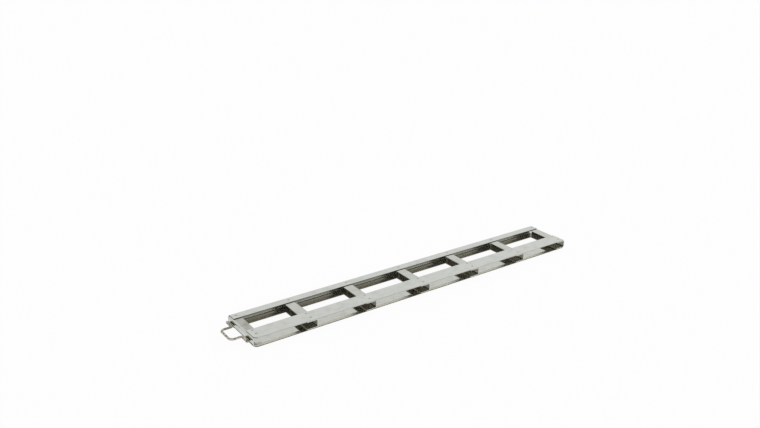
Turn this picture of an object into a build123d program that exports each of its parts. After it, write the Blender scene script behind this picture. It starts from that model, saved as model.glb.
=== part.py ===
from build123d import *
import os

os.makedirs("parts", exist_ok=True)

# A freezer frame for flat canisters, lying down: six bays side by side along X, open towards -Y,
# closed by the back rail at +Y. The bail is at the -X end. All sizes are in millimetres.

# Bays. The first and the last are a little shorter than the ones between them.
bay_count = 6
bay_pitch = 117.4
first_bay_trim = 0.3
last_bay_trim = 3.1

# Outer section of the welded frame
frame_depth = 94.2
frame_height = 17.0

# Sheet that every rail, member and cap is made of
sheet = 1.2
bend_inner = 2.0

# Rails
front_rail_width = 30.0
front_rail_corner = 7.0     # front corner at the bail's end
front_rail_far_corner = 2.0
back_rail_flange = 18.4
rail_setback = 1.6          # rail ends stand this far inside both ends of the frame

# Cross members and the far end member
member_flange = 20.4
member_wall_gap = 3.4       # open slit between a member's end and the back rail's wall

# Cap at the bail's end
cap_flange = 16.3
cap_front_inset = 3.2

# Wire bail, standing straight out of the cap
wire_diameter = 4.0
bail_leg_spacing = 37.6
bail_foot_length = 20.0     # from the middle of a leg to the end of its foot
bail_reach = 20.8           # from the middle of a foot to the middle of the outer bar
bail_foot_bend = 2.8
bail_corner_bend = 7.0
wire_end_round = 0.5
bail_standoff = 5.2         # from the cap's face to the middle of a foot

# Rolled clips that hold the feet, and the slots that their leaves pass through
clip_sheet = 0.6
clip_length = 14.0
clip_end_gap = 0.2          # between a clip and the bend of the wire beside it
clip_lug = 4.0              # height of each leaf where it is turned flat behind the cap
running_clearance = 0.08    # round the wire inside a clip
slot_height = 3.3
slot_end_clearance = 1.2

# What follows from those sizes
frame_length = bay_count * bay_pitch - first_bay_trim - last_bay_trim
bend_outer = bend_inner + sheet
rail_length = frame_length - 2 * rail_setback
inner_height = frame_height - 2 * sheet
member_end = frame_depth - sheet - member_wall_gap
middle_height = frame_height / 2
cap_middle = (cap_front_inset + frame_depth) / 2
wire_radius = wire_diameter / 2
clip_bore = wire_radius + running_clearance
clip_outer = clip_bore + clip_sheet
clip_start = bail_leg_spacing / 2 + bail_foot_bend + clip_end_gap
clip_middle = clip_start + clip_length / 2
overall_reach = bail_standoff + bail_reach + wire_radius

# Webs of the members stand at the end of each bay.
webs = [(i + 1) * bay_pitch - first_bay_trim for i in range(bay_count - 1)] + [frame_length]

# The pieces are built with the cap's face at x = 0 and the open front at y = 0, then moved
# so that the origin is under the middle of the whole part.
to_origin = Pos(-(frame_length - overall_reach) / 2, -frame_depth / 2, 0)


# Section of a folded channel with its web on the right, from x = -flange to 0, centred on y = 0
def channel_section(flange, height):
    outer = Pos(-flange / 2, 0) * Rectangle(flange, height)
    inner = Pos(-flange / 2 - sheet, 0) * Rectangle(flange, height - 2 * sheet)
    outer = fillet(outer.vertices().group_by(Axis.X)[-1], bend_outer)
    inner = fillet(inner.vertices().group_by(Axis.X)[-1], bend_inner)
    return outer - inner


# Section drawn in x and z, run along y from start to end
def run_along_y(section, start, end):
    return extrude(Plane.XZ.offset(-start) * section, amount=end - start, dir=(0, 1, 0))


# Back rail: a channel that opens towards the front and is closed by its wall behind
back_section = Pos(frame_depth, middle_height) * channel_section(back_rail_flange, frame_height)
back_rail = extrude(Plane.YZ.offset(rail_setback) * back_section, amount=rail_length)

# Front rails: two flat strips, one over the other, with their front corners well rounded at the bail's end
strip = Pos(frame_length / 2, front_rail_width / 2) * Rectangle(rail_length, front_rail_width)
strip = fillet(strip.vertices().group_by(Axis.Y)[0].sort_by(Axis.X)[0], front_rail_corner)
strip = fillet(strip.vertices().group_by(Axis.Y)[0].sort_by(Axis.X)[-1], front_rail_far_corner)
front_rail_bottom = extrude(strip, amount=sheet)
front_rail_top = Pos(0, 0, frame_height - sheet) * front_rail_bottom

# Cross members: channels between the rails that open towards the bail's end
member_section = Pos(0, middle_height) * channel_section(member_flange, inner_height)
member = run_along_y(member_section, 0, member_end)
members = [Pos(web, 0, 0) * member for web in webs]

# End cap: the same kind of channel the other way round. Its face reaches across the back rail's end.
cap_section = Pos(0, middle_height) * Rot(0, 0, 180) * channel_section(cap_flange, inner_height)
end_cap = run_along_y(cap_section, cap_front_inset, frame_depth)
past_members = Box(cap_flange, frame_depth, frame_height, align=(Align.MIN, Align.MIN, Align.MIN))
end_cap -= Pos(sheet, member_end, 0) * past_members

# Feet of the bail and the clips round them lie on one line in front of the cap.
slot_length = clip_length + 2 * slot_end_clearance
slot = Plane.YZ * SlotOverall(slot_length, slot_height)
slot_cut = extrude(slot, amount=2 * sheet, both=True)
clip_places = [cap_middle - clip_middle, cap_middle + clip_middle]
for place in clip_places:
    end_cap -= Pos(0, place, middle_height) * slot_cut

# Hinge clip: a strip rolled round the wire. Its two leaves lie together, pass through the slot
# and are turned up and down flat behind the cap's face.
leaf_reach = bail_standoff + sheet + clip_sheet
roll = Circle(clip_outer)
leaves = Pos(leaf_reach / 2, 0) * Rectangle(leaf_reach, 2 * clip_sheet)
lugs = Pos(leaf_reach - clip_sheet / 2, 0) * Rectangle(clip_sheet, 2 * clip_lug)
clip_section = Pos(-bail_standoff, middle_height) * (roll + leaves + lugs - Circle(clip_bore))
hinge_clips = [
    run_along_y(clip_section, place - clip_length / 2, place + clip_length / 2) for place in clip_places
]

# Bail: one wire, foot, leg, outer bar, leg, foot
foot_x = -bail_standoff
bar_x = foot_x - bail_reach
leg_y = bail_leg_spacing / 2
foot_end_y = leg_y + bail_foot_length
wire_path = FilletPolyline(
    (foot_x, -foot_end_y), (foot_x, -leg_y), (bar_x, -leg_y), (bar_x, leg_y), (foot_x, leg_y),
    (foot_x, foot_end_y), radius=[bail_foot_bend, bail_corner_bend, bail_corner_bend, bail_foot_bend]
)
wire_section = Plane(wire_path @ 0, z_dir=wire_path % 0) * Circle(wire_radius)
bail = sweep(wire_section, path=wire_path)
end_rims = bail.edges().filter_by(GeomType.CIRCLE).filter_by(
    lambda edge: abs(abs(edge.center().Y) - foot_end_y) < wire_end_round)
bail = fillet(end_rims, wire_end_round)
bail = Pos(0, cap_middle, middle_height) * bail

pieces = {
    "back_rail": back_rail,
    "front_rail_top": front_rail_top,
    "front_rail_bottom": front_rail_bottom,
    "end_member": members[-1],
    "end_cap": end_cap,
    "hinge_clip_front": hinge_clips[0],
    "hinge_clip_back": hinge_clips[1],
    "bail": bail,
}
for number, cross_member in enumerate(members[:-1], start=1):
    pieces[f"cross_member_{number}"] = cross_member

for name, piece in pieces.items():
    placed = to_origin * piece
    placed.label = name
    export_step(placed, f"parts/{name}.step")
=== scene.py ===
import math
import bpy
import bmesh
from mathutils import Matrix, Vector
from mathutils.bvhtree import BVHTree


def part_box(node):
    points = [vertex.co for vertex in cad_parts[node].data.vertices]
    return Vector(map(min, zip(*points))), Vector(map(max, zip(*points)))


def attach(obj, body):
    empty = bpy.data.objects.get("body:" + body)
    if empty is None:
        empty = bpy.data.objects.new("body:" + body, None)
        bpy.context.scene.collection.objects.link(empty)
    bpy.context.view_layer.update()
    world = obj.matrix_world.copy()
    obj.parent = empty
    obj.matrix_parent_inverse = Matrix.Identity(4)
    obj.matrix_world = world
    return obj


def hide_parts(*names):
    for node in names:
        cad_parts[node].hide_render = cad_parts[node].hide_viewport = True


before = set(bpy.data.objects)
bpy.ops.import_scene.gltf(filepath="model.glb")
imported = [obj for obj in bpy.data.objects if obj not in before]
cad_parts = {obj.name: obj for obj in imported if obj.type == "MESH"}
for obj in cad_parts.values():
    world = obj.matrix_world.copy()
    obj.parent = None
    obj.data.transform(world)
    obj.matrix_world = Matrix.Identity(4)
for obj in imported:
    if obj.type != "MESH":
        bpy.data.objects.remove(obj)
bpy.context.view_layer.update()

mm = 0.001
mergeGap = 0.001 * mm       # points nearer than this become one
scene = bpy.context.scene
scene.view_settings.view_transform = "Standard"
print("frame loaded:", len(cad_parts), "nodes")


def linear(hexCode):
    # sRGB hex to the linear colour that a shader socket takes
    parts = [int(hexCode[i:i + 2], 16) / 255 for i in (1, 3, 5)]
    return [*(c / 12.92 if c <= 0.04045 else ((c + 0.055) / 1.055) ** 2.4 for c in parts), 1.0]


def addNode(tree, kind, settings=None, links=None):
    # one node with its settings and its incoming links
    # a key is the name of a property or an input, or an input's number
    node = tree.nodes.new(kind)
    for key, value in (settings or {}).items():
        if isinstance(key, int) or key in node.inputs:
            node.inputs[key].default_value = value
        else:
            setattr(node, key, value)
    for key, socket in (links or {}).items():
        tree.links.new(socket, node.inputs[key])
    return node


def newMaterial(name):
    material = bpy.data.materials.new(name)
    material.use_nodes = True
    tree = material.node_tree
    tree.nodes.clear()
    return material, tree


def finishMaterial(tree, shader):
    addNode(tree, "ShaderNodeOutputMaterial", links={"Surface": shader.outputs[0]})


def addObject(name, mesh):
    piece = bpy.data.objects.new(name, mesh)
    scene.collection.objects.link(piece)
    return piece


# Cold-rolled stainless sheet, bright finish: nearly mirror-like, with a faint directional rolling grain,
# soft clouds where it was handled, and a slight waviness that bends reflections.
sheetFinish = {
    "pale": "#C6C8C3",
    "dull": "#B9BBB5",
    "roughnessLow": 0.05,
    "roughnessHigh": 0.10,
    "streakWidth": 0.9 * mm,    # real streaks are under 0.1 mm wide, so they are drawn coarser to show
    "streakLength": 45 * mm,
    "streakDepth": 0.002 * mm,
    "cloudSize": 70 * mm,
    "smudgeSize": 14 * mm,
    "smudgeFrom": 0.45,         # noise at which a finger mark starts to show
    "smudgeTo": 0.75,
    "wave": 0.01 * mm,
}


def brightSheet(name, grainAlong, look=sheetFinish):
    material, tree = newMaterial(name)
    place = addNode(tree, "ShaderNodeTexCoord").outputs["Object"]
    across, along = 1 / look["streakWidth"], 1 / look["streakLength"]
    stretch = [along if axis == grainAlong else across for axis in "XYZ"]
    grainPlace = addNode(tree, "ShaderNodeMapping", {"Scale": stretch}, {"Vector": place})
    grain = addNode(tree, "ShaderNodeTexNoise", {"Scale": 1.0, "Detail": 3.0, "Roughness": 0.6},
                    {"Vector": grainPlace.outputs[0]})
    cloud = addNode(tree, "ShaderNodeTexNoise", {"Scale": 1 / look["cloudSize"], "Detail": 2.0},
                    {"Vector": place})
    smudge = addNode(tree, "ShaderNodeTexNoise",
                     {"Scale": 1 / look["smudgeSize"], "Detail": 4.0, "Roughness": 0.55}, {"Vector": place})
    handled = addNode(tree, "ShaderNodeMapRange",
                      {"From Min": look["smudgeFrom"], "From Max": look["smudgeTo"]},
                      {"Value": smudge.outputs[0]})
    colour = addNode(tree, "ShaderNodeMix",
                     {"data_type": "RGBA", 6: linear(look["pale"]), 7: linear(look["dull"])},
                     {0: handled.outputs[0]})
    rough = addNode(tree, "ShaderNodeMapRange",
                    {"From Min": 0.3, "From Max": 0.7,
                     "To Min": look["roughnessLow"], "To Max": look["roughnessHigh"]},
                    {"Value": cloud.outputs[0]})
    if "band" in look:
        band = look["band"]
        axes = addNode(tree, "ShaderNodeSeparateXYZ", links={0: place})
        reach = addNode(tree, "ShaderNodeMapRange", {"From Min": band["from"], "From Max": band["to"]},
                        {"Value": axes.outputs[band["axis"]]})
        colour = addNode(tree, "ShaderNodeMix", {"data_type": "RGBA", 7: linear(band["colour"])},
                         {0: reach.outputs[0], 6: colour.outputs[2]})
    wave = addNode(tree, "ShaderNodeBump", {"Strength": 1.0, "Distance": look["wave"]},
                   {"Height": cloud.outputs[0]})
    bump = addNode(tree, "ShaderNodeBump", {"Strength": 0.1, "Distance": look["streakDepth"]},
                   {"Height": grain.outputs[0], "Normal": wave.outputs[0]})
    shader = addNode(tree, "ShaderNodeBsdfPrincipled", {"Metallic": 1.0},
                     {"Base Color": colour.outputs[2], "Roughness": rough.outputs[0],
                      "Normal": bump.outputs[0]})
    finishMaterial(tree, shader)
    return material


# Where the sheet is folded its grain opens up, so the bends are a little less sharp; they are also painted a
# little darker, as painted shade on the folds.
bendShadeFinish = {**sheetFinish, "pale": "#B6B9B6", "dull": "#A8ABA8", "roughnessLow": 0.12, "roughnessHigh": 0.2}
# The members carry the canisters' weight and are a little duller than the rails.
memberFinish = {**sheetFinish, "pale": "#BDBFB8", "dull": "#B0B2AA"}
# The cap is where the frame is gripped: its top is cloudy with finger marks.
grippedFinish = {**sheetFinish, "pale": "#ADAFA6", "dull": "#898B81", "roughnessHigh": 0.18,
                 "smudgeSize": 22 * mm}
# Its face is cleaner. Its lower part, just above the lower bend, is painted a dark blue-grey band: painted shade
# for the shadowed floor mirrored there.
faceShadeBandFinish = {**sheetFinish, "pale": "#C3C6C1", "dull": "#AFB1AA", "smudgeSize": 22 * mm,
              "band": {"axis": "Z", "colour": "#43494B", "from": 5.5 * mm, "to": 4.7 * mm}}
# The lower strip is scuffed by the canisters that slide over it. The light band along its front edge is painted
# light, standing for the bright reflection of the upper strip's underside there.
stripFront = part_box("front_rail_bottom")[0].y
scuffedLitBandFinish = {**sheetFinish, "pale": "#BEC1BA", "dull": "#B0B2AB",
                 "band": {"axis": "Y", "colour": "#D6D4C9", "from": stripFront + 10 * mm,
                          "to": stripFront + 4 * mm}}

# The inner faces are painted a little darker and browner, and partly matt: painted shade for the inside of the
# channels. The faces also mirror each other and each reflection takes light away, which darkens a channel
# further from outside.
insideShadeFinish = {"pale": "#BCBBB1", "dull": "#B0AEA1", "bare": 0.86, "gloss": 0.5, "roughness": 0.16,
                "cloudSize": 60 * mm}
# The underside of the upper strip is matt and painted near white: painted light, so that its reflection in the
# lower strip reads bright.
underLightFinish = {**insideShadeFinish, "pale": "#FAF9F5", "dull": "#F4F3EE", "bare": 1.0, "roughness": 0.5}
# A member's web is painted lighter than its floor: painted light, where light falls in through the open side.
litWebFinish = {**insideShadeFinish, "pale": "#D4D2C7", "dull": "#C8C5B8", "bare": 0.6, "roughness": 0.25}
# The inside of a bend is painted bluish grey: a painted reflection of the sky seen through the windows.
skyReflectionBendFinish = {**insideShadeFinish, "pale": "#B4B9B9", "dull": "#A3A8A8", "bare": 0.8, "roughness": 0.25}
# The floor of each member's channel is painted dark: painted shade for the inside of the channel.
floorShadeFinish = {**insideShadeFinish, "pale": "#8E8B7A", "dull": "#7C7969", "bare": 0.6, "gloss": 0.3,
               "roughness": 0.12}
# The lower bend of a fold lies close to whatever the frame stands on. It is painted dark blue-grey: painted
# shade for the shadowed floor it mirrors.
lowBendShadeFinish = {"pale": "#4C5254", "dull": "#3B4042", "bare": 0.1, "gloss": 0.05, "roughness": 0.6,
               "cloudSize": 12 * mm}
# The inner corners of the members are painted dark: painted shade in the corners.
cornerShadeFinish = {"pale": "#4A473D", "dull": "#35332B", "bare": 0.3, "gloss": 0.2, "roughness": 0.4,
                "cloudSize": 12 * mm}


# Makes the finishes that carry painted light and shade: a cloudy mix of two colours, partly metallic.
def paintedLightShadeSheet(name, look=insideShadeFinish):
    material, tree = newMaterial(name)
    place = addNode(tree, "ShaderNodeTexCoord").outputs["Object"]
    cloud = addNode(tree, "ShaderNodeTexNoise", {"Scale": 1 / look["cloudSize"], "Detail": 4.0},
                    {"Vector": place})
    colour = addNode(tree, "ShaderNodeMix",
                     {"data_type": "RGBA", 6: linear(look["pale"]), 7: linear(look["dull"])},
                     {0: cloud.outputs[0]})
    shader = addNode(tree, "ShaderNodeBsdfPrincipled",
                     {"Metallic": look["bare"], "Roughness": look["roughness"],
                      "Specular IOR Level": look["gloss"]}, {"Base Color": colour.outputs[2]})
    finishMaterial(tree, shader)
    return material


# Sheared edges are torn rather than rolled, so they are rough, and each kind gets its own tone. The members' and
# cap's long edges are painted light: a painted highlight. The upper strip's front edge is a little darker, and
# the members' and cap's ends are mid grey. The long edges of the back rail and lower strip are painted dark:
# painted shade. Slot edges and the rails' cut ends are near black: painted shade for the dark gaps seen past
# them.
highlitEdge = {"colour": "#D6D7D2", "roughness": 0.35, "tearSize": 1.2 * mm, "tearDepth": 0.03 * mm}
dimmerEdge = {**highlitEdge, "colour": "#B9B6AC", "roughness": 0.4}
dullEdge = {**highlitEdge, "colour": "#8B877B", "roughness": 0.4}
shadedEdge = {**highlitEdge, "colour": "#625E52", "roughness": 0.45}
blackShadeEdge = {**highlitEdge, "colour": "#2C2922", "roughness": 0.5}


def shearedEdge(name, look):
    material, tree = newMaterial(name)
    place = addNode(tree, "ShaderNodeTexCoord").outputs["Object"]
    tear = addNode(tree, "ShaderNodeTexNoise", {"Scale": 1 / look["tearSize"], "Detail": 3.0},
                   {"Vector": place})
    bump = addNode(tree, "ShaderNodeBump", {"Strength": 0.4, "Distance": look["tearDepth"]},
                   {"Height": tear.outputs[0]})
    shader = addNode(tree, "ShaderNodeBsdfPrincipled",
                     {"Metallic": 1.0, "Roughness": look["roughness"], "Base Color": linear(look["colour"])},
                     {"Normal": bump.outputs[0]})
    finishMaterial(tree, shader)
    return material


# Heat of the spot weld leaves a straw-coloured tint on the stainless sheet, uneven over each mark.
weldFinish = {"pale": "#B4B1A2", "dull": "#9B9783", "roughness": 0.34, "patch": 1.5 * mm}
# Drawn stainless wire: smooth, with random pale and dark brown patches. They stand partly for traces of brown
# from bending and handling, and partly for painted highlights and shade along the wire.
wireStainAndGlintFinish = {"pale": "#C4C2B7", "dull": "#7C776A", "roughness": 0.2, "patch": 5 * mm}
# The clips are thin rolled stainless strip, rubbed dark by the wire that turns in them.
clipFinish = {"pale": "#C6C2B2", "dull": "#655F50", "roughness": 0.28, "patch": 3 * mm}


def patchyMetal(name, look):
    material, tree = newMaterial(name)
    place = addNode(tree, "ShaderNodeTexCoord").outputs["Object"]
    patch = addNode(tree, "ShaderNodeTexNoise", {"Scale": 1 / look["patch"], "Detail": 3.0},
                    {"Vector": place})
    worn = addNode(tree, "ShaderNodeMapRange", {"From Min": 0.38, "From Max": 0.62},
                   {"Value": patch.outputs[0]})
    colour = addNode(tree, "ShaderNodeMix",
                     {"data_type": "RGBA", 6: linear(look["pale"]), 7: linear(look["dull"])},
                     {0: worn.outputs[0]})
    shader = addNode(tree, "ShaderNodeBsdfPrincipled", {"Metallic": 1.0, "Roughness": look["roughness"]},
                     {"Base Color": colour.outputs[2]})
    finishMaterial(tree, shader)
    return material


railSheet = brightSheet("stainless sheet, cold-rolled, grain along the rails", "X")
railBend = brightSheet("stainless sheet, folded, grain along the rails", "X", bendShadeFinish)
memberSheet = brightSheet("stainless sheet, cold-rolled, grain across the frame", "Y", memberFinish)
memberBend = brightSheet("stainless sheet, folded, grain across the frame", "Y", bendShadeFinish)
capTopSheet = brightSheet("stainless sheet, cold-rolled, finger-marked", "Y", grippedFinish)
capFaceSheet = brightSheet("stainless sheet, cold-rolled, cap face", "Y", faceShadeBandFinish)
scuffedLitBandSheet = brightSheet("stainless sheet, cold-rolled, scuffed", "X", scuffedLitBandFinish)
insideShadeSheet = paintedLightShadeSheet("stainless sheet, inner face, painted shade")
underLightSheet = paintedLightShadeSheet("stainless sheet, matt underside, painted light", underLightFinish)
skyReflectionBendSheet = paintedLightShadeSheet("stainless sheet, inside of a bend, painted sky reflection", skyReflectionBendFinish)
lowBend = paintedLightShadeSheet("stainless sheet, folded, painted shade", lowBendShadeFinish)
shadedCorner = paintedLightShadeSheet("stainless sheet, inner corner, painted shade", cornerShadeFinish)
shadedChannelFloor = paintedLightShadeSheet("stainless sheet, floor of a channel, painted shade", floorShadeFinish)
litWebInside = paintedLightShadeSheet("stainless sheet, inside of a web, painted light", litWebFinish)
highlitEdgeMetal = shearedEdge("stainless sheet, sheared edge, painted highlight", highlitEdge)
dimmerEdgeMetal = shearedEdge("stainless sheet, sheared edge, a little darker", dimmerEdge)
dullMetal = shearedEdge("stainless sheet, sheared edge, dull", dullEdge)
shadedEdgeMetal = shearedEdge("stainless sheet, sheared edge, painted shade", shadedEdge)
blackShadeMetal = shearedEdge("stainless sheet, cut edge, painted black shade", blackShadeEdge)
weldMetal = patchyMetal("stainless sheet, heat-tinted spot weld", weldFinish)
wireMetal = patchyMetal("stainless wire, drawn", wireStainAndGlintFinish)
clipMetal = patchyMetal("stainless strip, rolled, worn", clipFinish)
print("finishes made")


# Every sheet piece keeps its folded form from the frame; its edges are eased and its faces sorted by finish.
sheetLook = {
    "thickness": 1.2 * mm,
    "clipThickness": 0.6 * mm,
    "edgeEase": 0.15 * mm,
    "fineAngle": 0.3,           # degrees
    "easeAngle": 40,
    "probeStart": 0.02 * mm,    # a ray that feels for the other side starts this far off the face
    "wallLimit": 1.4,           # thicknesses; with more metal than this behind it, a face is an edge
    "flatCosine": 0.995,
    "lowSide": -0.1,            # a bend's face that points further down than this is its lower side
}
sheetParts = ("outside", "top", "under", "bend", "lowBend", "inside", "innerFloor", "insideBend",
              "longEdge", "endEdge", "slotEdge")


def facePart(face, own, thickness, centre):
    # which part of the sheet a face belongs to, from its direction and from what lies behind and before it
    middle, normal = face.calc_center_median(), face.normal
    start = normal * sheetLook["probeStart"]
    behind = own.ray_cast(middle - start, -normal)
    if behind[0] is None or behind[3] > sheetLook["wallLimit"] * thickness:
        before = own.ray_cast(middle + start, normal)
        if before[0] is not None:
            return "slotEdge"
        return "endEdge" if abs(normal.x) > 0.3 else "longEdge"
    flat = max(abs(part) for part in normal) > sheetLook["flatCosine"]
    if normal.dot(centre - middle) > thickness:
        if normal.z > 0.9:
            return "innerFloor"
        return "inside" if flat else "insideBend"
    if not flat:
        return "lowBend" if normal.z < sheetLook["lowSide"] else "bend"
    if normal.z < -0.5:
        return "under"
    return "top" if normal.z > 0.5 else "outside"


def dressSheet(node, metals, thickness=sheetLook["thickness"], slotFrom=None):
    form = bmesh.new()
    form.from_mesh(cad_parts[node].data)
    bmesh.ops.remove_doubles(form, verts=form.verts, dist=mergeGap)
    bmesh.ops.dissolve_limit(form, angle_limit=math.radians(sheetLook["fineAngle"]),
                             verts=form.verts, edges=form.edges)
    form.normal_update()
    own = BVHTree.FromBMesh(form)
    low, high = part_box(node)
    if slotFrom is not None:
        bmesh.ops.bisect_plane(form, geom=form.verts[:] + form.edges[:] + form.faces[:], dist=mergeGap,
                               plane_co=(slotFrom, 0, 0), plane_no=(1, 0, 0))
    for face in form.faces:
        part = facePart(face, own, thickness, (low + high) / 2)
        # Past this plane a clip's leaves take the slot edge's finish: painted black shade, for the dark of the
        # slot around them.
        if slotFrom is not None and face.calc_center_median().x > slotFrom:
            part = "slotEdge"       # a clip's leaves inside its slot
        face.material_index = sheetParts.index(part)
        face.smooth = True
    mesh = bpy.data.meshes.new(node + " dressed")
    form.to_mesh(mesh)
    form.free()
    for part in sheetParts:
        mesh.materials.append(metals[part])
    piece = addObject("dressed_" + node, mesh)
    ease = piece.modifiers.new("ease", "BEVEL")
    ease.width = sheetLook["edgeEase"]
    ease.segments = 2
    ease.limit_method = "ANGLE"
    ease.angle_limit = math.radians(sheetLook["easeAngle"])
    ease.harden_normals = True
    even = piece.modifiers.new("even", "WEIGHTED_NORMAL")   # keeps the flats flat beside the bends
    even.mode = "FACE_AREA"
    even.weight = 100
    finished = bpy.data.meshes.new_from_object(piece.evaluated_get(bpy.context.evaluated_depsgraph_get()))
    piece.modifiers.clear()
    piece.data = finished
    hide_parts(node)
    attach(piece, "frame")
    return piece


backMetals = {
    "outside": railSheet, "top": railSheet, "under": railSheet, "bend": railBend, "lowBend": lowBend,
    "inside": insideShadeSheet, "innerFloor": insideShadeSheet, "insideBend": skyReflectionBendSheet, "longEdge": shadedEdgeMetal,
    "endEdge": blackShadeMetal, "slotEdge": blackShadeMetal,
}
lowerStripMetals = {**backMetals, "top": scuffedLitBandSheet}
upperStripMetals = {**backMetals, "under": underLightSheet, "longEdge": dimmerEdgeMetal}
memberMetals = {
    **backMetals, "outside": memberSheet, "top": memberSheet, "under": memberSheet, "bend": memberBend,
    "inside": litWebInside, "innerFloor": shadedChannelFloor, "insideBend": shadedCorner, "longEdge": highlitEdgeMetal,
    "endEdge": dullMetal,
}
capMetals = {**memberMetals, "outside": capFaceSheet, "bend": capFaceSheet, "top": capTopSheet,
             "innerFloor": memberSheet, "insideBend": skyReflectionBendSheet}
clipMetals = {part: clipMetal for part in sheetParts[:-1]} | {"slotEdge": blackShadeMetal}
rails = [dressSheet("back_rail", backMetals), dressSheet("front_rail_bottom", lowerStripMetals),
         dressSheet("front_rail_top", upperStripMetals)]
memberNodes = [f"cross_member_{number}" for number in range(1, 6)] + ["end_member"]
members = [dressSheet(node, memberMetals) for node in memberNodes]
cap = dressSheet("end_cap", capMetals)
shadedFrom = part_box("end_cap")[0].x - sheetLook["thickness"]    # the slot's shade starts before the cap's face
clips = [dressSheet(node, clipMetals, sheetLook["clipThickness"], shadedFrom)
         for node in ("hinge_clip_front", "hinge_clip_back")]
print("sheet pieces dressed")

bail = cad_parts["bail"]
bail.data.materials.clear()
bail.data.materials.append(wireMetal)
print("bail finished")


# Spot welds: a shallow dish with a low rim, two per member on the front rails and one on the back rail.
weldLook = {
    "radius": 2.4 * mm,
    "rim": 0.05 * mm,
    "sink": 0.25 * mm,
    "steps": 24,
    "fromWeb": 8.4 * mm,        # from a member's web to its welds
    "fromCapFace": 10.6 * mm,
    "memberRows": (9.8 * mm, 25.6 * mm, 85.0 * mm),     # from the front edge
    "capRows": (12.7 * mm, 25.6 * mm, 85.0 * mm),
    "spread": 0.18,             # the smallest weld is this much smaller than the largest
    "seed": 4,
}


def weldButton():
    # the dish as one closed form of revolution, sunk a little into the sheet
    radius, rim, sink = weldLook["radius"], weldLook["rim"], weldLook["sink"]
    outline = [(0, 0.2 * rim), (0.45 * radius, 0.3 * rim), (0.72 * radius, 0.8 * rim), (0.84 * radius, rim),
               (0.94 * radius, 0.6 * rim), (radius, 0), (radius, -sink), (0, -sink)]
    form = bmesh.new()
    verts = [form.verts.new((x, 0, z)) for x, z in outline]
    for a, b in zip(verts, verts[1:]):
        form.edges.new((a, b))
    bmesh.ops.spin(form, geom=form.verts[:] + form.edges[:], cent=(0, 0, 0), axis=(0, 0, 1),
                   angle=math.tau, steps=weldLook["steps"], use_merge=True)
    bmesh.ops.remove_doubles(form, verts=form.verts, dist=mergeGap)
    bmesh.ops.recalc_face_normals(form, faces=form.faces)
    for face in form.faces:
        face.smooth = True
    mesh = bpy.data.meshes.new("weld button")
    form.to_mesh(mesh)
    form.free()
    return addObject("weldButton", mesh)


def weldTree(button):
    tree = bpy.data.node_groups.new("spot welds", "GeometryNodeTree")
    face = tree.interface
    face.new_socket("Geometry", in_out="INPUT", socket_type="NodeSocketGeometry")
    face.new_socket("Spread", in_out="INPUT", socket_type="NodeSocketFloat")
    face.new_socket("Seed", in_out="INPUT", socket_type="NodeSocketInt")
    face.new_socket("Geometry", in_out="OUTPUT", socket_type="NodeSocketGeometry")
    start = addNode(tree, "NodeGroupInput")
    least = addNode(tree, "ShaderNodeMath", {"operation": "SUBTRACT", 0: 1.0}, {1: start.outputs["Spread"]})
    size = addNode(tree, "FunctionNodeRandomValue", {"data_type": "FLOAT", 3: 1.0},
                   {2: least.outputs[0], "Seed": start.outputs["Seed"]})
    source = addNode(tree, "GeometryNodeObjectInfo", {"transform_space": "ORIGINAL", "Object": button})
    points = addNode(tree, "GeometryNodeMeshToPoints", links={"Mesh": start.outputs["Geometry"]})
    copies = addNode(tree, "GeometryNodeInstanceOnPoints", links={
        "Points": points.outputs[0], "Instance": source.outputs["Geometry"], "Scale": size.outputs[1]})
    real = addNode(tree, "GeometryNodeRealizeInstances", links={"Geometry": copies.outputs[0]})
    metal = addNode(tree, "GeometryNodeSetMaterial", {"Material": weldMetal}, {"Geometry": real.outputs[0]})
    addNode(tree, "NodeGroupOutput", links={"Geometry": metal.outputs[0]})
    return tree


def weldPlaces():
    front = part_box("front_rail_top")[0].y
    overMembers = [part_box(node)[1].x - weldLook["fromWeb"] for node in memberNodes]
    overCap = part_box("end_cap")[0].x + weldLook["fromCapFace"]
    return ([(x, front + row) for x in overMembers for row in weldLook["memberRows"]]
            + [(overCap, front + row) for row in weldLook["capRows"]])


def weldMarks(tree, name, height, turn):
    # turn is 1 for the upper side, and -1 for the lower side, which is the upper one rolled over
    mesh = bpy.data.meshes.new(name)
    mesh.from_pydata([(x, y * turn, 0) for x, y in weldPlaces()], [], [])
    piece = addObject(name, mesh)
    nodes = piece.modifiers.new("welds", "NODES")
    nodes.node_group = tree
    keys = {item.name: item.identifier for item in tree.interface.items_tree if item.in_out == "INPUT"}
    nodes[keys["Spread"]] = weldLook["spread"]
    nodes[keys["Seed"]] = weldLook["seed"]
    made = bpy.data.meshes.new_from_object(piece.evaluated_get(bpy.context.evaluated_depsgraph_get()))
    piece.modifiers.clear()
    piece.data = made
    side = Matrix.Rotation(0 if turn > 0 else math.pi, 4, "X")
    made.transform(Matrix.Translation((0, 0, height)) @ side)
    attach(piece, "frame")
    return piece


button = weldButton()
weldNodes = weldTree(button)
weldMarks(weldNodes, "upperWelds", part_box("front_rail_top")[1].z, 1)
weldMarks(weldNodes, "lowerWelds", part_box("front_rail_bottom")[0].z, -1)
bpy.data.objects.remove(button)
print("spot welds made")


# Stage: a white floor under an even white sky. The floor is partly lit and partly plain white, so that the
# object keeps a faint shadow on a white ground.
stageLook = {
    "floorSize": 40.0,          # metres
    "floorDrop": 0.1 * mm,
    "floor": "#FAFAFA",
    "sky": "#FFFFFF",
    "skyOverhead": "#C8C8C6",
    "dimFrom": 0.45,            # sine of the height at which the sky starts to dim
    "dimTo": 0.95,
    "plainShare": 0.94,
}


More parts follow.
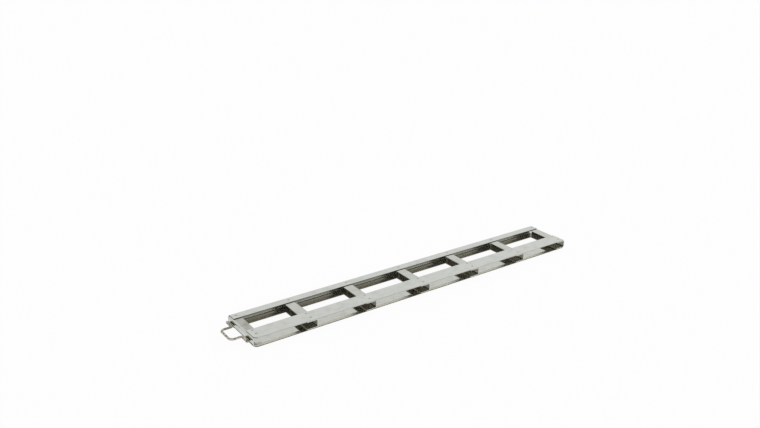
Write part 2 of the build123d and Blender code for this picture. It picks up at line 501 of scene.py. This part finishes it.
def makeFloor():
    half, height = stageLook["floorSize"] / 2, -stageLook["floorDrop"]
    corners = ((-half, -half), (half, -half), (half, half), (-half, half))
    mesh = bpy.data.meshes.new("floor")
    mesh.from_pydata([(x, y, height) for x, y in corners], [], [(0, 1, 2, 3)])
    material, tree = newMaterial("white studio floor")
    ray = addNode(tree, "ShaderNodeLightPath")
    direct = addNode(tree, "ShaderNodeMath", {"operation": "MAXIMUM"},
                     {0: ray.outputs["Is Camera Ray"], 1: ray.outputs["Is Glossy Ray"]})
    seen = addNode(tree, "ShaderNodeMath", {"operation": "MAXIMUM"},
                   {0: direct.outputs[0], 1: ray.outputs["Is Transmission Ray"]})
    share = addNode(tree, "ShaderNodeMath", {"operation": "MULTIPLY", 1: stageLook["plainShare"]},
                    {0: seen.outputs[0]})
    lit = addNode(tree, "ShaderNodeBsdfDiffuse", {"Color": linear(stageLook["floor"])})
    plain = addNode(tree, "ShaderNodeEmission", {"Color": linear(stageLook["sky"]), "Strength": 1.0})
    shader = addNode(tree, "ShaderNodeMixShader",
                     links={0: share.outputs[0], 1: lit.outputs[0], 2: plain.outputs[0]})
    finishMaterial(tree, shader)
    mesh.materials.append(material)
    addObject("floor", mesh)


def makeSky():
    world = bpy.data.worlds.new("even white sky")
    scene.world = world
    world.use_nodes = True
    tree = world.node_tree
    tree.nodes.clear()
    direction = addNode(tree, "ShaderNodeTexCoord")
    height = addNode(tree, "ShaderNodeSeparateXYZ", links={0: direction.outputs["Generated"]})
    overhead = addNode(tree, "ShaderNodeMapRange",
                       {"interpolation_type": "SMOOTHSTEP", "From Min": stageLook["dimFrom"],
                        "From Max": stageLook["dimTo"]}, {"Value": height.outputs["Z"]})
    colour = addNode(tree, "ShaderNodeMix",
                     {"data_type": "RGBA", 6: linear(stageLook["sky"]), 7: linear(stageLook["skyOverhead"])},
                     {0: overhead.outputs[0]})
    sky = addNode(tree, "ShaderNodeBackground", {"Strength": 1.0}, {"Color": colour.outputs[2]})
    addNode(tree, "ShaderNodeOutputWorld", links={"Surface": sky.outputs[0]})


makeFloor()
makeSky()

cameraLook = {
    "place": (-800.19 * mm, -1040.48 * mm, 645.85 * mm),
    "heading": 54.693,          # degrees from +X towards +Y
    "down": 21.201,
    "roll": 0.435,
    "sensor": 36,               # mm, as Blender's camera takes it
    "lens": 37.428,
    "nearest": 10 * mm,
}


def makeCamera():
    data = bpy.data.cameras.new("camera")
    data.sensor_width = cameraLook["sensor"]
    data.lens = cameraLook["lens"]
    data.clip_start = cameraLook["nearest"]
    camera = addObject("camera", data)
    heading = Matrix.Rotation(math.radians(cameraLook["heading"] - 90), 4, "Z")
    tilt = Matrix.Rotation(math.radians(90 - cameraLook["down"]), 4, "X")
    roll = Matrix.Rotation(math.radians(cameraLook["roll"]), 4, "Z")
    camera.matrix_world = Matrix.Translation(cameraLook["place"]) @ heading @ tilt @ roll
    scene.camera = camera


makeCamera()
print("stage and camera set")
